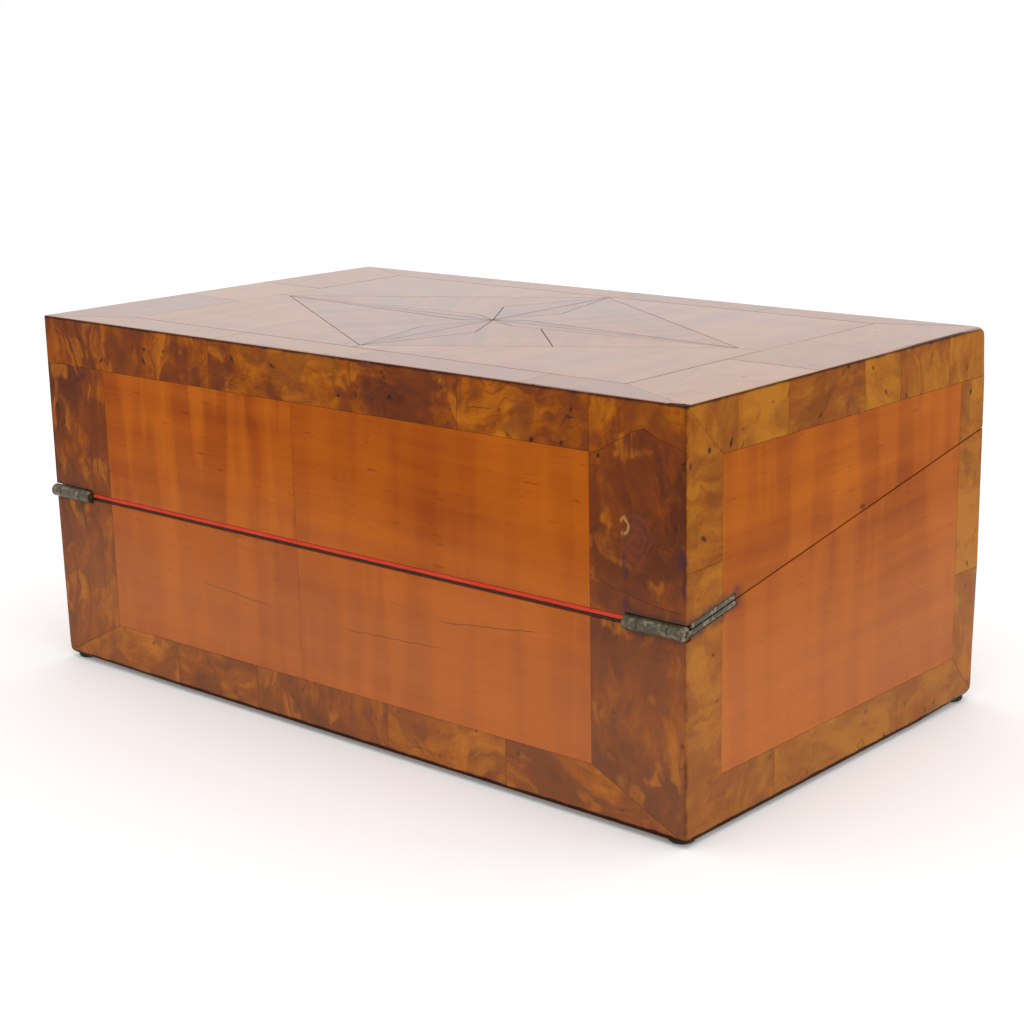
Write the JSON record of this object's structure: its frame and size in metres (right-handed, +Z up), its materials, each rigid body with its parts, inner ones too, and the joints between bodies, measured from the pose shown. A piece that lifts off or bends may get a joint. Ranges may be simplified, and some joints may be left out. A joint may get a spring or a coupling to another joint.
{
  "type": "writing box",
  "caption": "Veneered wooden writing box with a slanting lid joint, brass corner hinges, cloth-covered writing flaps and a pen and ink compartment.",
  "frame": {"origin": "bottom centre of the whole closed box, on the plane that its feet stand on", "axes": "+Z up, X along the length, -Y towards the hinge side and +Y towards the lock side"},
  "size_m": [0.35, 0.2044, 0.157],
  "materials": {
    "veneer": "french polished burr and straight-grained veneer",
    "core_wood": "plain sawn carcass wood",
    "fitting_wood": "satin polished hardwood",
    "red_cloth": "napped woollen cloth",
    "brass": "dull tarnished brass",
    "steel": "filed steel",
    "ink_glass": "clear moulded glass",
    "foot_pad": "matt dark pad"
  },
  "bodies": {
    "base": {"base_back_veneer": "veneer", "base_back_wall": "core_wood", "base_bottom_board": "core_wood", "base_front_veneer": "veneer", "base_front_wall": "core_wood", "base_left_end": "core_wood", "base_left_flap_ledge": "fitting_wood", "base_left_veneer": "veneer", "base_right_end": "core_wood", "base_right_flap_ledge": "fitting_wood", "base_right_veneer": "veneer", "compartment_floor": "fitting_wood", "escutcheon": "brass", "hinge_fold_cloth": "red_cloth", "left_back_foot": "foot_pad", "left_base_leaf_screw_across": "brass", "left_base_leaf_screw_back": "brass", "left_front_foot": "foot_pad", "left_hinge_base_leaf": "brass", "left_hinge_pin": "brass", "left_ink_divider": "fitting_wood", "left_inkwell": "ink_glass", "left_inkwell_cap": "brass", "lock_case": "brass", "pen_tray": "fitting_wood", "right_back_foot": "foot_pad", "right_base_leaf_screw_across": "brass", "right_base_leaf_screw_back": "brass", "right_front_foot": "foot_pad", "right_hinge_base_leaf": "brass", "right_hinge_pin": "brass", "right_ink_divider": "fitting_wood", "right_inkwell": "ink_glass", "right_inkwell_cap": "brass", "well_divider": "fitting_wood"},
    "lid": {"left_hinge_lid_leaf": "brass", "left_lid_leaf_screw_across": "brass", "left_lid_leaf_screw_back": "brass", "lid_back_veneer": "veneer", "lid_back_wall": "core_wood", "lid_front_veneer": "veneer", "lid_front_wall": "core_wood", "lid_left_end": "core_wood", "lid_left_flap_ledge": "fitting_wood", "lid_left_veneer": "veneer", "lid_right_end": "core_wood", "lid_right_flap_ledge": "fitting_wood", "lid_right_veneer": "veneer", "lid_top_board": "core_wood", "lid_top_veneer": "veneer", "lock_striker": "brass", "right_hinge_lid_leaf": "brass", "right_lid_leaf_screw_across": "brass", "right_lid_leaf_screw_back": "brass"},
    "upper_flap": {"upper_flap_board": "core_wood", "upper_flap_cloth": "red_cloth"},
    "lower_flap": {"lower_flap_board": "core_wood", "lower_flap_cloth": "red_cloth"},
    "lock_bolt": {"lock_bolt": "steel"}
  },
  "joints": [
    {"name": "lid_hinge", "type": "hinge", "parent": "base", "child": "lid", "pos_m": [0, -0.0995, 0.0785], "axis": [1, 0, 0], "range_deg": [0, 180]},
    {"name": "upper_flap_hinge", "type": "hinge", "parent": "base", "child": "upper_flap", "pos_m": [0, -0.08781, 0.08048], "axis": [1, 0, 0], "range_deg": [0, 60]},
    {"name": "lower_flap_hinge", "type": "hinge", "parent": "lid", "child": "lower_flap", "pos_m": [0, -0.08662, 0.08171], "axis": [1, 0, 0], "range_deg": [-60, 0]},
    {"name": "lock_bolt_slide", "type": "slide", "parent": "base", "child": "lock_bolt", "axis": [1, 0, 0], "range_m": [0, 0.004]}
  ],
  "couplings": [
    {"joint": "upper_flap_hinge", "follows": "lid_hinge", "ratio": 0.3333},
    {"joint": "lower_flap_hinge", "follows": "lid_hinge", "ratio": -0.3333}
  ]
}
